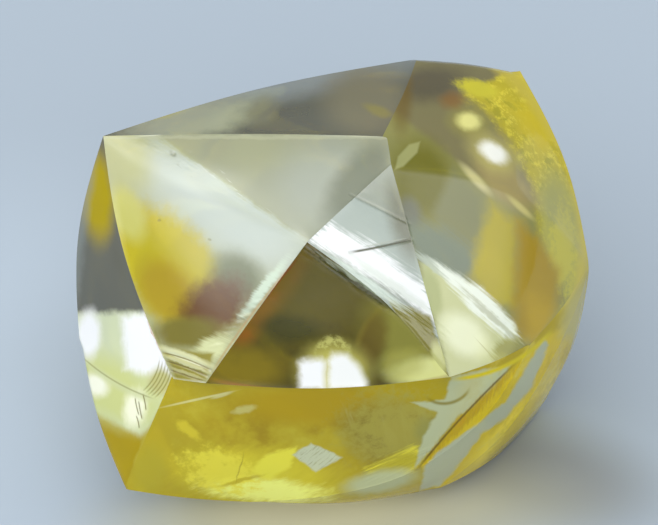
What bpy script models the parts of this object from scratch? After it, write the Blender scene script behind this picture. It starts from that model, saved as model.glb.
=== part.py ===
"""Canary diamond: one natural rough crystal with swollen faces, lying on a flat rest face.

Run with: blender --background --python part.py
Metres, +Z up. The crystal lies on the plane z = 0, on its rest face, and the origin is the point
of that face under its centre of mass.
"""

import math

import bmesh
import bpy
from mathutils import Matrix, Vector
from mathutils.bvhtree import BVHTree

MM = 0.001

# The corners, in millimetres from the crystal's middle, as seen square on to the crown:
# x to the right, y up, z towards the eye. VIEW_TILT then lays the crystal down on its rest face.
CORNERS = {
    "crown": (-0.155, 0.37, 1.92),
    "frame_top_left": (-2.185, 1.42, 0.60),
    "frame_top_right": (0.625, 1.41, 1.00),
    "frame_right_high": (0.665, 1.13, 1.26),
    "frame_low_right": (1.235, -0.96, 1.40),
    "frame_low_middle": (-1.155, -1.02, 1.34),
    "frame_low_left": (-1.485, -0.98, 1.15),
    "left_peak": (-2.435, -0.59, 0.20),
    "low_left_shoulder": (-1.985, -2.09, 0.34),
    "low_peak": (-0.735, -2.22, 0.30),
    "low_ridge_end": (0.845, -1.96, 0.72),
    "rim_low": (1.175, -2.09, -0.05),
    "right_ridge": (2.065, -0.63, 0.64),
    "rim_high": (2.365, -0.64, 0.02),
    "right_peak": (2.665, 0.11, -0.10),
    "top_right_shoulder": (1.985, 2.10, -0.75),
    "top_peak": (0.965, 2.21, -0.20),
    "low_right_shoulder": (2.135, -1.42, -1.45),
    "back_crown": (0.215, -0.33, -1.90),
    "back_top_left": (-1.335, 0.99, -1.30),
    "back_low_left": (-1.035, -1.51, -1.20),
}
VIEW_TILT = math.radians(45)

# Across these pairs of corners the hull's triangles belong to one swollen face.
SHARED_FACES = (
    ("crown", "frame_low_left"),
    ("crown", "frame_top_right"),
    ("frame_low_middle", "low_left_shoulder"),
    ("frame_low_middle", "low_peak"),
    ("frame_low_middle", "low_ridge_end"),
    ("low_left_shoulder", "low_ridge_end"),
    ("frame_right_high", "top_right_shoulder"),
    ("frame_top_right", "top_right_shoulder"),
    ("frame_right_high", "right_ridge"),
    ("rim_low", "right_ridge"),
    ("back_crown", "top_right_shoulder"),
    ("rim_low", "back_low_left"),
)

# The rounding: each ridge and face swells from its flat form (0) towards an ellipsoid (1) around
# the crystal's middle, with these radii in millimetres along x, y and z of the crown's view.
ROUNDING = 0.75
ROUNDING_RADII = (2.60, 2.30, 2.05)
# Some ridges swell by their own share instead.
RIDGE_ROUNDING = {
    ("frame_top_left", "frame_top_right"): 0.0,
    ("frame_right_high", "frame_low_right"): 0.0,
    ("crown", "frame_right_high"): 0.2,
    ("crown", "frame_low_middle"): 0.2,
    ("frame_top_left", "top_peak"): 0.25,
    ("low_ridge_end", "right_ridge"): 1.3,
    ("rim_low", "rim_high"): 1.1,
}
# Some ridges also bend: how far, in millimetres, as seen square on to the crown.
RIDGE_BENDS = {
    ("frame_top_left", "frame_top_right"): (0.00, 0.03, 0.13),
    ("frame_right_high", "frame_low_right"): (0.00, 0.00, 0.25),
    ("frame_right_high", "right_peak"): (0.05, 0.25, 0.05),
    ("crown", "frame_low_right"): (0.10, 0.10, 0.00),
}
# How sharp each ridge is, from 0, round, to 1, a crisp line.
RIDGE_SHARPNESS = 1.0
WORN_RIDGES = {
    ("crown", "frame_top_left"): 0.75,
    ("crown", "frame_low_right"): 0.85,
}
SURFACE_LEVELS = 2

# The rest face, cut square to the vertical. Its height, and the point of it under the centre of
# mass, are in millimetres from the crystal's middle once laid down.
REST_HEIGHT = -1.90
REST_POINT = (0.11, 0.01)
CUTTER_SIZE = 8.0

# Growth lines: fine grooves across the left faces, one after another away from the low left corner.
GROWTH_LINES = 5
GROWTH_LINE_FIRST = 0.12
GROWTH_LINE_PITCH = 0.065
GROWTH_LINE_SLANT = 1.5
GROWTH_LINE_RADIUS = 0.014

# The scratch on the crown's right face, in millimetres as seen square on to the crown.
SCRATCH_ENDS = ((0.215, 0.29, 1.9), (0.815, 0.38, 1.6))
SCRATCH_RADIUS = 0.014
GROOVE_SIDES = 6

BODY_COLOR = (0.86, 0.74, 0.16, 1.0)
BODY_ROUGHNESS = 0.03
BODY_IOR = 2.417


def clear_scene():
    """Remove every object that the file opened with."""
    for thing in list(bpy.data.objects):
        bpy.data.objects.remove(thing, do_unlink=True)


def new_collection(name):
    group = bpy.data.collections.new(name)
    bpy.context.scene.collection.children.link(group)
    return group


def lying():
    """Give the matrix that lays the crown's view down on the rest face."""
    side = Vector((1, 0, 0))
    rise = Vector((0, math.sin(VIEW_TILT), math.cos(VIEW_TILT)))
    front = Vector((0, -math.cos(VIEW_TILT), math.sin(VIEW_TILT)))
    turn = Matrix((side, rise, front)).transposed().to_4x4()
    return Matrix.Translation(Vector((*REST_POINT, REST_HEIGHT)) * -MM) @ turn


def placed(point):
    """Place a point of the crown's view on the lying crystal, in metres."""
    return lying() @ (Vector(point) * MM)


def ends_of(edge, names):
    """Give the names of the two corners that a ridge joins."""
    order = list(CORNERS)
    return {order[vertex[names]] for vertex in edge.verts}


def is_inside_face(edge, names):
    return any(set(pair) == ends_of(edge, names) for pair in SHARED_FACES)


def looked_up(table, ends, default):
    for pair, value in table.items():
        if set(pair) == ends:
            return value
    return default


def hull_of_corners(mesh):
    """Wrap the corners in their convex hull, and join the triangles that share a face."""
    names = mesh.verts.layers.int.new("corner")
    for number, point in enumerate(CORNERS.values()):
        vertex = mesh.verts.new(Vector(point) * MM)
        vertex[names] = number
    bmesh.ops.convex_hull(mesh, input=mesh.verts[:])
    inner = [edge for edge in mesh.edges if is_inside_face(edge, names)]
    bmesh.ops.dissolve_edges(mesh, edges=inner)
    mesh.normal_update()
    return names


def out_from_middle(point):
    """Give how far out a point is, as a share of the rounding ellipsoid."""
    return Vector(part / radius for part, radius in zip(point / MM, ROUNDING_RADII)).length


def swollen(flat, corners, share):
    """Move a point of a flat face or ridge out, towards the ellipsoid through its corners."""
    here = out_from_middle(flat)
    round_out = sum(out_from_middle(corner) for corner in corners) / len(corners)
    return flat * (1 + share * (round_out / here - 1))


def swell(mesh, names):
    """Swell every ridge, and every face between them, and crease the ridges."""
    crease = mesh.edges.layers.float.new("crease_edge")
    corners = set(mesh.verts)
    shares = {}
    bends = {}
    middles = {}
    for edge in mesh.edges:
        ends = ends_of(edge, names)
        shares[edge] = looked_up(RIDGE_ROUNDING, ends, ROUNDING)
        bends[edge] = Vector(looked_up(RIDGE_BENDS, ends, (0, 0, 0))) * MM
        places = [vertex.co.copy() for vertex in edge.verts]
        middles[edge] = swollen(sum(places, Vector()) / 2, places, shares[edge]) + bends[edge]
        edge[crease] = looked_up(WORN_RIDGES, ends, RIDGE_SHARPNESS)
    centres = {}
    for face in mesh.faces:
        sides = len(face.edges)
        share = sum(shares[edge] for edge in face.edges) / sides
        bend = sum((bends[edge] for edge in face.edges), Vector()) / sides
        places = [vertex.co.copy() for vertex in face.verts]
        centres[face] = swollen(face.calc_center_median(), places, share) + bend
    for edge, place in middles.items():
        _, middle = bmesh.utils.edge_split(edge, edge.verts[0], 0.5)
        middle.co = place
    for face, place in centres.items():
        centre = bmesh.ops.poke(mesh, faces=[face])["verts"][0]
        centre.co = place
        spokes = [edge for edge in centre.link_edges if edge.other_vert(centre) in corners]
        bmesh.ops.dissolve_edges(mesh, edges=spokes)


def make_cage(group):
    """Make the crystal's coarse cage, which a Subdivision Surface rounds between its ridges."""
    mesh = bmesh.new()
    names = hull_of_corners(mesh)
    swell(mesh, names)
    mesh.transform(lying())
    bmesh.ops.recalc_face_normals(mesh, faces=mesh.faces[:])
    data = bpy.data.meshes.new("diamond")
    mesh.to_mesh(data)
    mesh.free()
    crystal = bpy.data.objects.new("diamond", data)
    group.objects.link(crystal)
    rounding = crystal.modifiers.new("rounding", "SUBSURF")
    rounding.levels = SURFACE_LEVELS
    rounding.render_levels = SURFACE_LEVELS
    return crystal


def surface_of(crystal):
    """Give a search tree of the rounded surface, to lay the grooves on."""
    return BVHTree.FromObject(crystal, bpy.context.evaluated_depsgraph_get())


def groove_cutter(mesh, first, last, radius):
    """Add a thin rod to a cutter mesh, from one point of the surface to another."""
    along = last - first
    turn = along.to_track_quat("Z", "Y").to_matrix().to_4x4()
    turn.translation = (first + last) / 2
    bmesh.ops.create_cone(
        mesh,
        cap_ends=True,
        segments=GROOVE_SIDES,
        radius1=radius * MM,
        radius2=radius * MM,
        depth=along.length,
        matrix=turn,
    )


def cutter_object(name, mesh, group):
    data = bpy.data.meshes.new(name)
    mesh.to_mesh(data)
    mesh.free()
    cutter = bpy.data.objects.new(name, data)
    group.objects.link(cutter)
    cutter.hide_render = True
    cutter.display_type = "WIRE"
    return cutter


def make_growth_lines(surface, group):
    """Lay the grooves across the two left faces, each bent where it crosses their ridge."""
    mesh = bmesh.new()
    corner = placed(CORNERS["frame_low_left"])
    up = (placed(CORNERS["frame_top_left"]) - corner).normalized() * MM
    down = (placed(CORNERS["low_left_shoulder"]) - corner).normalized() * MM
    for line in range(GROWTH_LINES):
        reach = GROWTH_LINE_FIRST + line * GROWTH_LINE_PITCH
        start = corner + up * reach
        end = corner + down * reach * GROWTH_LINE_SLANT
        stops = [surface.find_nearest(stop)[0] for stop in (start, (start + end) / 2, end)]
        groove_cutter(mesh, stops[0], stops[1], GROWTH_LINE_RADIUS)
        groove_cutter(mesh, stops[1], stops[2], GROWTH_LINE_RADIUS)
    return cutter_object("growth_lines_cutter", mesh, group)


def make_scratch(surface, group):
    mesh = bmesh.new()
    first, last = (surface.find_nearest(placed(point))[0] for point in SCRATCH_ENDS)
    groove_cutter(mesh, first, last, SCRATCH_RADIUS)
    return cutter_object("scratch_cutter", mesh, group)


def make_ground(group):
    """Make the block that cuts the rest face."""
    mesh = bmesh.new()
    size = CUTTER_SIZE * MM
    bmesh.ops.create_cube(mesh, size=size, matrix=Matrix.Translation((0, 0, -size / 2)))
    return cutter_object("rest_face_cutter", mesh, group)


def cut(crystal, cutter, overlapping=False):
    difference = crystal.modifiers.new(cutter.name, "BOOLEAN")
    difference.operation = "DIFFERENCE"
    difference.solver = "EXACT"
    difference.use_self = overlapping
    difference.object = cutter


def make_diamond_material():
    material = bpy.data.materials.new("yellow_diamond")
    material.use_nodes = True
    shader = material.node_tree.nodes["Principled BSDF"]
    shader.inputs["Base Color"].default_value = BODY_COLOR
    shader.inputs["Roughness"].default_value = BODY_ROUGHNESS
    shader.inputs["Metallic"].default_value = 0.0
    shader.inputs["IOR"].default_value = BODY_IOR
    shader.inputs["Transmission Weight"].default_value = 1.0
    return material


def main():
    clear_scene()
    parts = new_collection("canary_diamond")
    cutters = new_collection("cutters")
    crystal = make_cage(parts)
    surface = surface_of(crystal)
    cut(crystal, make_ground(cutters))
    cut(crystal, make_growth_lines(surface, cutters), overlapping=True)
    cut(crystal, make_scratch(surface, cutters))
    crystal.data.materials.append(make_diamond_material())


main()
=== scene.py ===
"""Canary diamond: a rough yellow crystal with swollen faces, on a pale floor in soft light."""

import math
from collections import defaultdict

import bmesh
import bpy
from bpy.props import FloatProperty, FloatVectorProperty, IntProperty, PointerProperty
from mathutils import Matrix, Vector, noise


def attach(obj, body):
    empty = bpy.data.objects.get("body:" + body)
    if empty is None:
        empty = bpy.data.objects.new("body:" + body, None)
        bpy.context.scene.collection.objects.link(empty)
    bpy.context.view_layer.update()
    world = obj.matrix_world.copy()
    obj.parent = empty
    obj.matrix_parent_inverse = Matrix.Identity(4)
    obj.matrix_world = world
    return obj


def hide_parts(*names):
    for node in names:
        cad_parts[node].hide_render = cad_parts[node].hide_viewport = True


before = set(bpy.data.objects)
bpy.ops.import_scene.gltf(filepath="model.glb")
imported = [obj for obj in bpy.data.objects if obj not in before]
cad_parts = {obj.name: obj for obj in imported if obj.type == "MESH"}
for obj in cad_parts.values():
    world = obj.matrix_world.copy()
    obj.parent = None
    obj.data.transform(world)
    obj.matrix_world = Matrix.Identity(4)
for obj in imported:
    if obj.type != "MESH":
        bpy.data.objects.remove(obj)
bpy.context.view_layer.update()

bl_info = {
    "name": "Canary Diamond",
    "version": (1, 0, 0),
    "blender": (4, 5, 0),
    "location": "3D View > Sidebar > Diamond",
    "description": "Builds a rough yellow diamond crystal on a pale studio floor",
    "category": "Add Mesh",
}

MM = 0.001
# How much diamond bends light, and how high the finest grain of its faces is, in metres.
DIAMOND_IOR = 2.417
GRAIN_HEIGHT = 1.6e-6

# The corners, in millimetres from the crystal's middle, as seen square on to the crown:
# x to the right, y up, z towards the eye. VIEW_TILT then lays the crystal down on its rest face.
CORNERS = {
    "crown": (-0.155, 0.37, 1.92),
    "top_left": (-2.185, 1.42, 0.60),
    "top_right": (0.625, 1.41, 1.00),
    "right_high": (0.665, 1.13, 1.26),
    "low_right": (1.235, -0.96, 1.40),
    "low_middle": (-1.155, -1.02, 1.34),
    "low_left": (-1.485, -0.98, 1.15),
    "left_peak": (-2.435, -0.59, 0.20),
    "low_left_shoulder": (-1.985, -2.09, 0.34),
    "low_peak": (-0.735, -2.22, 0.30),
    "low_ridge_end": (0.845, -1.96, 0.72),
    "rim_low": (1.175, -2.09, -0.05),
    "right_ridge": (2.065, -0.63, 0.64),
    "rim_high": (2.365, -0.64, 0.02),
    "right_peak": (2.665, 0.11, -0.10),
    "top_right_shoulder": (1.985, 2.10, -0.75),
    "top_peak": (0.965, 2.21, -0.20),
    "low_right_shoulder": (2.135, -1.42, -1.45),
    "back_crown": (0.215, -0.33, -1.90),
    "back_top_left": (-1.335, 0.99, -1.30),
    "back_low_left": (-1.035, -1.51, -1.20),
}
VIEW_TILT = math.radians(45)
REST_HEIGHT = -1.90
REST_POINT = (0.11, 0.01)

# Across these pairs of corners the hull's triangles belong to one swollen face.
SHARED_FACES = (
    ("crown", "low_left"),
    ("crown", "top_right"),
    ("low_middle", "low_left_shoulder"),
    ("low_middle", "low_ridge_end"),
    ("low_left_shoulder", "low_ridge_end"),
    ("right_high", "top_right_shoulder"),
    ("top_right", "top_right_shoulder"),
    ("right_high", "right_ridge"),
    ("rim_low", "right_ridge"),
    ("back_crown", "top_right_shoulder"),
    ("rim_low", "back_low_left"),
)

# Each ridge and face swells by this share of the way to an ellipsoid with these radii, in
# millimetres; some ridges have a share of their own, some bend, and some are worn rather than crisp.
ROUNDING = 0.75
ROUNDING_RADII = (2.60, 2.30, 2.05)
RIDGE_ROUNDING = {
    ("top_left", "top_right"): 0.0,
    ("right_high", "low_right"): 0.0,
    ("crown", "right_high"): 0.2,
    ("crown", "low_middle"): 0.2,
    ("top_left", "top_peak"): 0.25,
    ("low_ridge_end", "right_ridge"): 1.3,
    ("rim_low", "rim_high"): 1.1,
}
RIDGE_BENDS = {
    ("top_left", "top_right"): (0.00, 0.03, 0.13),
    ("right_high", "low_right"): (0.00, 0.00, 0.25),
    ("right_high", "right_peak"): (0.05, 0.25, 0.05),
    ("crown", "low_right"): (0.10, 0.10, 0.00),
    ("top_left", "low_left"): (0.08, 0.00, 0.00),
}
RIDGE_SHARPNESS = 1.0
WORN_RIDGES = {
    ("crown", "top_left"): 0.22,
    ("crown", "low_right"): 0.75,
    ("low_right", "low_ridge_end"): 0.15,
    ("left_peak", "low_left"): 0.35,
    ("low_left", "low_left_shoulder"): 0.75,
    ("right_high", "right_peak"): 0.5,
    ("top_peak", "top_right"): 0.5,
    ("rim_low", "rim_high"): 0.5,
    ("rim_low", "low_ridge_end"): 0.3,
    ("rim_low", "low_peak"): 0.6,
    ("rim_high", "right_ridge"): 0.3,
    ("rim_high", "right_peak"): 0.5,
    ("right_ridge", "right_peak"): 0.5,
    ("rim_high", "low_right_shoulder"): 0.5,
    ("left_peak", "low_left_shoulder"): 0.7,
    ("top_peak", "top_right_shoulder"): 0.7,
}

# The finishes that only some natural faces have, by the corners that those faces lie between. All
# others take the plain finish.
FACE_FINISHES = {
    "upper_crown": ("crown", "top_left", "top_right", "right_high", "low_left", "low_middle"),
    "right_crown": ("crown", "right_high", "low_right"),
    "low_crown": ("crown", "low_middle", "low_right"),
    "low_side": (
        "low_left_shoulder", "low_left", "low_middle", "low_right", "low_peak", "low_ridge_end",
        "rim_low", "rim_high", "low_right_shoulder", "right_ridge", "right_peak",
    ),
    "right_side": (
        "top_right", "right_high", "low_right", "right_ridge", "right_peak",
        "top_peak", "top_right_shoulder",
    ),
    "top_face": ("top_left", "top_right", "top_peak"),
    "left_side": ("top_left", "low_left", "left_peak", "low_left_shoulder"),
}

# The crown's view is painted and carved in hundredths of a millimetre, from a point a little left of
# the crystal's middle.
UNIT = 0.01
VIEW_ORIGIN = Vector((0.5, 0))

# Fine relief, its lines and pits placed on the crown's view, its widths and depths in millimetres. A
# line is its start, its bend and its end. The growth lines lie beside the frame's lower left corner,
# the steps at the left crown's foot.
GROWTH_LINE = ((-149, -85), (-153, -100), (-166, -117))
GROWTH_STEP = (-3, 1.6)
GROWTH_COUNT = 5
FOOT_STEPS = (
    ((-159, -72), (-133, -79), (-110, -89)),
    ((-156, -80), (-133, -87), (-113, -95)),
    ((-151, -89), (-133, -95), (-117, -100)),
)
LOW_TICKS = (
    ((-186, -117), (-184.5, -126), (-182, -135)),
    ((-182.5, -120), (-181, -129), (-179, -139)),
    ((-178, -114), (-176, -122), (-175, -130)),
    ((-185, -135), (-183, -141), (-182, -148)),
)
SCRATCH = ((27, 26.5), (59, 32.5), (87, 39.5))
CROWN_STEP = ((27, 83.5), (56, 69), (86, 54.5))
# Each pit's middle and radius, and their depth as a share of the radius.
PITS = (((-148, 124), 0.035), ((-161, 58), 0.012), ((-111, 39), 0.011), ((129, 29), 0.014))
PIT_DEPTH = 0.3

# Worn ridges and streaky bands: from one end to the other, how wide, then how their ripples run, how
# long and how wide the grains are, and how deep.
RIPPLES = (
    ((-11, 32), (117, -55), 0.15, -38, 0.20, 0.020, 0.006),
    ((125, 3), (195, -63), 0.13, -40, 0.20, 0.018, 0.004),
    ((189, -93), (101, -179), 0.12, 80, 0.10, 0.022, 0.006),
    ((-173, 137), (-23, 43), 0.07, -36, 0.10, 0.030, 0.0025),
    ((-61, -17), (-109, -67), 0.07, 10, 0.12, 0.030, 0.0025),
    ((43, -191), (101, -173), 0.18, 24, 0.20, 0.020, 0.005),
)
# How often the faint waves come, per millimetre, and how high they are.
WAVES = ((1.2, 0.0030), (3.7, 0.0008))
# Faces with relief, and those so far round them in millimetres, are cut into this many more parts.
REFINED = 4
RELIEF_MARGIN = 0.04
SMOOTHINGS = 6
# Only faces turned this far towards the crown's view carry relief.
FACING = 0.1
# Below these creases a ridge is shaded smooth, takes the waves, and lets its surface be smoothed.
CRISP = 0.9
WORN = 0.5
UNCREASED = 0.1
# The waves stay off the rest face's rim, up to this height in millimetres.
REST_RIM = 0.05


def at(place):
    """Give a place of the crown's view in millimetres."""
    return (Vector(place) - VIEW_ORIGIN) * UNIT


def growth_lines():
    shift = Vector(GROWTH_STEP)
    return [[Vector(point) + shift * count for point in GROWTH_LINE] for count in range(GROWTH_COUNT)]


def grooves():
    """Give each groove: its line, its width and its depth."""
    yield from ((line, 0.016, 0.005) for line in growth_lines())
    yield from ((line, 0.018, 0.006) for line in FOOT_STEPS)
    yield from ((line, 0.016, 0.005) for line in LOW_TICKS)
    yield SCRATCH, 0.022, 0.009
    yield CROWN_STEP, 0.020, 0.003


class DiamondSettings(bpy.types.PropertyGroup):
    """Sizes and colours of the crystal."""

    levels: IntProperty(
        name="Surface levels",
        description="How often the coarse cage is halved on the way to the rounded surface",
        default=4,
        min=2,
        max=5,
    )
    absorption: FloatProperty(
        name="Absorption",
        description="How strongly the yellow body takes up light, per metre of crystal",
        default=330.0,
        min=0.0,
    )
    body_color: FloatVectorProperty(
        name="Body colour",
        description="The colour that the crystal lets through",
        subtype="COLOR",
        size=3,
        default=(0.985, 0.93, 0.30),
        min=0.0,
        max=1.0,
    )


class StageSettings(bpy.types.PropertyGroup):
    """The floor, the light and the view."""

    floor_color: FloatVectorProperty(
        name="Floor colour",
        description="The pale floor under the crystal",
        subtype="COLOR",
        size=3,
        default=(0.40, 0.47, 0.55),
        min=0.0,
        max=1.0,
    )
    light_color: FloatVectorProperty(
        name="Light colour",
        description="The tint of the soft light",
        subtype="COLOR",
        size=3,
        default=(0.97, 0.99, 1.0),
        min=0.0,
        max=1.0,
    )
    room_color: FloatVectorProperty(
        name="Room colour",
        description="What the camera sees beyond the floor",
        subtype="COLOR",
        size=3,
        default=(0.47, 0.57, 0.69),
        min=0.0,
        max=1.0,
    )
    view_distance: FloatProperty(
        name="View distance",
        description="From the camera to the crystal's middle",
        unit="LENGTH",
        default=0.075,
    )


def lying():
    """Give the matrix that lays the crown's view down on the rest face."""
    side = Vector((1, 0, 0))
    rise = Vector((0, math.sin(VIEW_TILT), math.cos(VIEW_TILT)))
    front = Vector((0, -math.cos(VIEW_TILT), math.sin(VIEW_TILT)))
    turn = Matrix((side, rise, front)).transposed().to_4x4()
    return Matrix.Translation(Vector((*REST_POINT, REST_HEIGHT)) * -MM) @ turn


def corners_of(part, names):
    """Give the names of an edge's or a face's corners."""
    order = list(CORNERS)
    return {order[vertex[names]] for vertex in part.verts}


def looked_up(table, ends, default):
    return next((value for pair, value in table.items() if set(pair) == ends), default)


def finish_of(face, names):
    """Give the name of a natural face's finish."""
    corners = corners_of(face, names)
    return next((finish for finish, around in FACE_FINISHES.items() if corners <= set(around)), "plain")


def hull_of_corners(mesh):
    """Wrap the corners in their convex hull, and join the triangles that share a face."""
    names = mesh.verts.layers.int.new("corner")
    for number, point in enumerate(CORNERS.values()):
        vertex = mesh.verts.new(Vector(point) * MM)
        vertex[names] = number
    bmesh.ops.convex_hull(mesh, input=mesh.verts[:])
    shared = [set(pair) for pair in SHARED_FACES]
    inner = [edge for edge in mesh.edges if corners_of(edge, names) in shared]
    bmesh.ops.dissolve_edges(mesh, edges=inner)
    mesh.normal_update()
    return names


def out_from_middle(point):
    """Give how far out a point is, as a share of the rounding ellipsoid."""
    return Vector(part / radius for part, radius in zip(point / MM, ROUNDING_RADII)).length


def swollen(flat, corners, share):
    """Move a point of a flat face or ridge out, towards the ellipsoid through its corners."""
    here = out_from_middle(flat)
    round_out = sum(out_from_middle(corner) for corner in corners) / len(corners)
    return flat * (1 + share * (round_out / here - 1))


def swell(mesh, names):
    """Swell every ridge, and every face between them, and crease the ridges."""
    crease = mesh.edges.layers.float.new("crease_edge")
    corners = set(mesh.verts)
    shares = {}
    bends = {}
    middles = {}
    for edge in mesh.edges:
        ends = corners_of(edge, names)
        shares[edge] = looked_up(RIDGE_ROUNDING, ends, ROUNDING)
        bends[edge] = Vector(looked_up(RIDGE_BENDS, ends, (0, 0, 0))) * MM
        places = [vertex.co.copy() for vertex in edge.verts]
        middles[edge] = swollen(sum(places, Vector()) / 2, places, shares[edge]) + bends[edge]
        edge[crease] = looked_up(WORN_RIDGES, ends, RIDGE_SHARPNESS)
    centres = {}
    for face in mesh.faces:
        sides = len(face.edges)
        share = sum(shares[edge] for edge in face.edges) / sides
        bend = sum((bends[edge] for edge in face.edges), Vector()) / sides
        places = [vertex.co.copy() for vertex in face.verts]
        centres[face] = swollen(face.calc_center_median(), places, share) + bend
    for edge, place in middles.items():
        _, middle = bmesh.utils.edge_split(edge, edge.verts[0], 0.5)
        middle.co = place
    for face, place in centres.items():
        centre = bmesh.ops.poke(mesh, faces=[face])["verts"][0]
        centre.co = place
        spokes = [edge for edge in centre.link_edges if edge.other_vert(centre) in corners]
        bmesh.ops.dissolve_edges(mesh, edges=spokes)


def rounded_mesh(levels, finishes):
    """Make the crystal's rounded surface, each natural face with the number of its finish."""
    mesh = bmesh.new()
    names = hull_of_corners(mesh)
    for face in mesh.faces:
        face.material_index = finishes.index(finish_of(face, names))
    swell(mesh, names)
    mesh.transform(lying())
    bmesh.ops.recalc_face_normals(mesh, faces=mesh.faces[:])
    data = bpy.data.meshes.new("cage")
    mesh.to_mesh(data)
    mesh.free()
    cage = bpy.data.objects.new("cage", data)
    bpy.context.scene.collection.objects.link(cage)
    rounding = cage.modifiers.new("rounding", "SUBSURF")
    rounding.levels = levels
    rounding.render_levels = levels
    evaluated = cage.evaluated_get(bpy.context.evaluated_depsgraph_get())
    rounded = bpy.data.meshes.new_from_object(evaluated)
    bpy.data.objects.remove(cage)
    bpy.data.meshes.remove(data)
    return rounded


def cut_rest_face(mesh, finishes):
    """Cut the crystal off level with the floor, and close the cut."""
    whole = mesh.verts[:] + mesh.edges[:] + mesh.faces[:]
    bmesh.ops.bisect_plane(mesh, geom=whole, plane_co=(0, 0, 0), plane_no=(0, 0, 1), clear_inner=True)
    rim = [edge for edge in mesh.edges if edge.is_boundary]
    made = bmesh.ops.contextual_create(mesh, geom=rim)["faces"]
    crease = mesh.edges.layers.float.get("crease_edge")
    bmesh.ops.recalc_face_normals(mesh, faces=mesh.faces[:])
    for face in made:
        face.material_index = finishes.index("plain")
        for edge in face.edges:
            edge[crease] = 1.0


def bent_line(line, count=10):
    """Give points along a line through its start, bend and end."""
    first, bend, last = (at(point) for point in line)
    steps = (step / count for step in range(count + 1))
    return [first * (1 - t) * (1 - 2 * t) + bend * 4 * t * (1 - t) + last * t * (2 * t - 1) for t in steps]


def off_line(place, points):
    """Give how far a place lies from a chain of points."""
    nearest = 1e9
    for first, last in zip(points, points[1:]):
        along = last - first
        share = min(max((place - first).dot(along) / along.length_squared, 0), 1)
        nearest = min(nearest, (place - first - along * share).length)
    return nearest


def relief_places():
    """Give every line that carries relief, as points, and how far its relief reaches."""
    yield from ((bent_line(line), width) for line, width, _ in grooves())
    yield from (([at(first), at(last)], width) for first, last, width, *_ in RIPPLES)
    for place, radius in PITS:
        yield [at(place), at(place) + Vector((radius / 10, 0))], radius


def near(place, points, reach):
    xs = [point.x for point in points]
    ys = [point.y for point in points]
    inside = min(xs) - reach < place.x < max(xs) + reach and min(ys) - reach < place.y < max(ys) + reach
    return inside and off_line(place, points) < reach


def refine(mesh, upright):
    """Divide the faces that carry relief more finely, and smooth them; give their vertices."""
    places = list(relief_places())
    front = upright.inverted().to_3x3() @ Vector((0, 0, 1))
    fine = []
    for face in mesh.faces:
        place = (upright @ face.calc_center_median()) / MM
        if face.normal.dot(front) > FACING and len(face.verts) == 4:
            if any(near(place.xy, points, reach + RELIEF_MARGIN) for points, reach in places):
                fine.append(face)
    edges = list({edge for face in fine for edge in face.edges})
    made = bmesh.ops.subdivide_edges(mesh, edges=edges, cuts=REFINED, use_grid_fill=True)
    crease = mesh.edges.layers.float.get("crease_edge")
    inner = [item for item in made["geom_inner"] if isinstance(item, bmesh.types.BMVert)]
    free = [vertex for vertex in inner if all(edge[crease] < UNCREASED for edge in vertex.link_edges)]
    ways = {"use_axis_x": True, "use_axis_y": True, "use_axis_z": True}
    for _ in range(SMOOTHINGS):
        bmesh.ops.smooth_vert(mesh, verts=free, factor=0.5, **ways)
    return inner


def dent(off, width):
    """Give a smooth dent's share of its depth, so far off its middle line."""
    return (1 - (off / width) ** 2) ** 2 if off < width else 0.0


def carve_relief(mesh):
    """Give the faces faint waves, and cut the grooves, pits and ripples into them."""
    upright = lying().inverted()
    mesh.normal_update()
    inner = refine(mesh, upright)
    mesh.normal_update()
    crease = mesh.edges.layers.float.get("crease_edge")
    depths = defaultdict(float)
    for vertex in mesh.verts:
        if vertex.co.z > REST_RIM * MM and all(edge[crease] < WORN for edge in vertex.link_edges):
            waves = (noise.noise(vertex.co / MM * often) * high for often, high in WAVES)
            depths[vertex] = sum(waves) + sum(high for _, high in WAVES)
    places = {vertex: ((upright @ vertex.co) / MM).xy for vertex in inner}
    for line, width, depth in grooves():
        points = bent_line(line)
        for vertex, place in places.items():
            if near(place, points, width):
                depths[vertex] += depth * dent(off_line(place, points), width)
    for place, radius in PITS:
        for vertex, here in places.items():
            off = (here - at(place)).length
            depths[vertex] += PIT_DEPTH * radius * dent(off, radius)
    for first, last, width, turn, long, wide, depth in RIPPLES:
        points = [at(first), at(last)]
        grain = Matrix.Rotation(-math.radians(turn), 2)
        for vertex, place in places.items():
            if near(place, points, width):
                along = grain @ place
                ripple = 0.5 + noise.noise(Vector((along.x / long, along.y / wide, 1.0)))
                share = dent(off_line(place, points), width)
                depths[vertex] += depth * share * ripple
    for vertex, depth in depths.items():
        vertex.co -= vertex.normal * depth * MM


def sharpen_ridges(mesh):
    crease = mesh.edges.layers.float.get("crease_edge")
    for edge in mesh.edges:
        edge.smooth = edge[crease] < CRISP
    for face in mesh.faces:
        face.smooth = True


class Value:
    """A number that varies over a surface; arithmetic on it adds Math nodes."""

    def __init__(self, finish, socket):
        self.finish = finish
        self.socket = socket

    def math(self, operation, *others):
        node = self.finish.node("Math", {"operation": operation}, self, *others)
        return Value(self.finish, node.outputs[0])

    def __add__(self, other):
        return self.math("ADD", other)

    def __sub__(self, other):
        return self.math("SUBTRACT", other)

    def __rsub__(self, other):
        node = self.finish.node("Math", {"operation": "SUBTRACT"}, other, self)
        return Value(self.finish, node.outputs[0])

    def __mul__(self, other):
        return self.math("MULTIPLY", other)

    __radd__ = __add__
    __rmul__ = __mul__


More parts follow.
